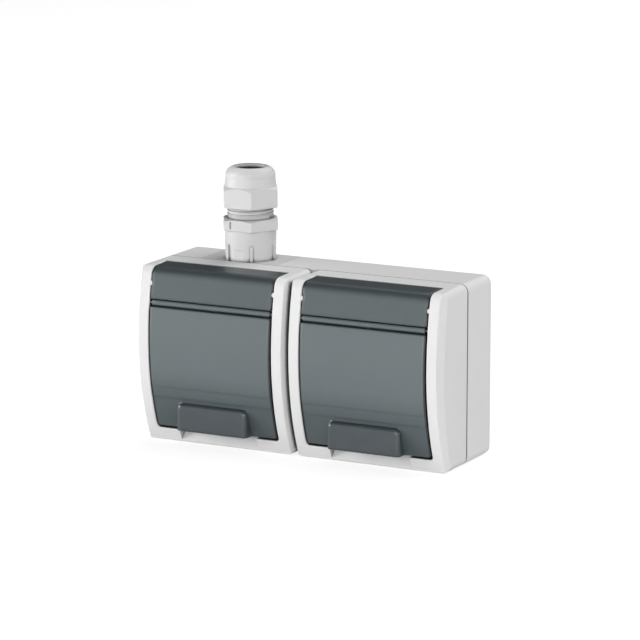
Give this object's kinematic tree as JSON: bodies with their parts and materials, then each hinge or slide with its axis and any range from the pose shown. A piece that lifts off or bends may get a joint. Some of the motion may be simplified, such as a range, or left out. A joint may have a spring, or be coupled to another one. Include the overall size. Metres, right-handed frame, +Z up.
{
  "type": "outdoor weatherproof socket",
  "caption": "Wall-mounted weatherproof socket box with side-by-side spring-lidded round recesses and a cable gland on top.",
  "frame": {"origin": "centre of the rectangle of wall screws, in the plane of the wall, halfway up the box", "axes": "+X to the right as seen from the front, +Y into the wall, +Z up; the front faces -Y"},
  "size_m": [0.15, 0.0517, 0.1219],
  "materials": {
    "housing_plastic": "fine satin, light grey",
    "lid_plastic": "fine satin, dark blue-grey",
    "gland_plastic": "satin, light grey",
    "insert_plastic": "light gloss, pale grey",
    "base_plastic": "matt, grey",
    "rubber": "matt black",
    "brass": "stamped",
    "steel": "zinc-plated"
  },
  "bodies": {
    "housing": {"back_box": "housing_plastic", "entry_insert": "housing_plastic", "gland_body": "gland_plastic", "gland_washer": "rubber", "gland_seal": "rubber", "left_cover_frame": "housing_plastic", "left_box_seal": "rubber", "left_hinge_cover": "lid_plastic", "left_hinge_pin": "steel", "left_lid_spring": "steel", "left_socket_face": "insert_plastic", "left_socket_base": "base_plastic", "left_line_contact": "brass", "left_neutral_contact": "brass", "left_earth_clip": "brass", "left_terminal_screws": "steel", "left_centre_screw": "steel", "left_base_screws": "steel", "left_cover_screws": "steel", "right_cover_frame": "housing_plastic", "right_box_seal": "rubber", "right_hinge_cover": "lid_plastic", "right_hinge_pin": "steel", "right_lid_spring": "steel", "right_socket_face": "insert_plastic", "right_socket_base": "base_plastic", "right_line_contact": "brass", "right_neutral_contact": "brass", "right_earth_clip": "brass", "right_terminal_screws": "steel", "right_centre_screw": "steel", "right_base_screws": "steel", "right_cover_screws": "steel"},
    "left_lid_body": {"left_lid": "lid_plastic", "left_lid_seal": "rubber"},
    "right_lid_body": {"right_lid": "lid_plastic", "right_lid_seal": "rubber"},
    "nut_body": {"gland_nut": "gland_plastic"}
  },
  "joints": [
    {"name": "left_lid_hinge", "type": "hinge", "parent": "housing", "child": "left_lid_body", "pos_m": [-0.0375, -0.04845, 0.02375], "axis": [-1, 0, 0], "range_deg": [0, 95], "stiffness_Nm_per_rad": 0.012, "springref_deg": -85.94, "deforming": ["left_lid_spring"]},
    {"name": "right_lid_hinge", "type": "hinge", "parent": "housing", "child": "right_lid_body", "pos_m": [0.0375, -0.04845, 0.02375], "axis": [-1, 0, 0], "range_deg": [0, 95], "stiffness_Nm_per_rad": 0.012, "springref_deg": -85.94, "deforming": ["right_lid_spring"]},
    {"name": "gland_nut_turn", "type": "hinge", "parent": "housing", "child": "nut_body", "pos_m": [-0.0375, -0.0122, 0.06395], "axis": [0, 0, 1], "range_deg": [-720, 720]}
  ]
}
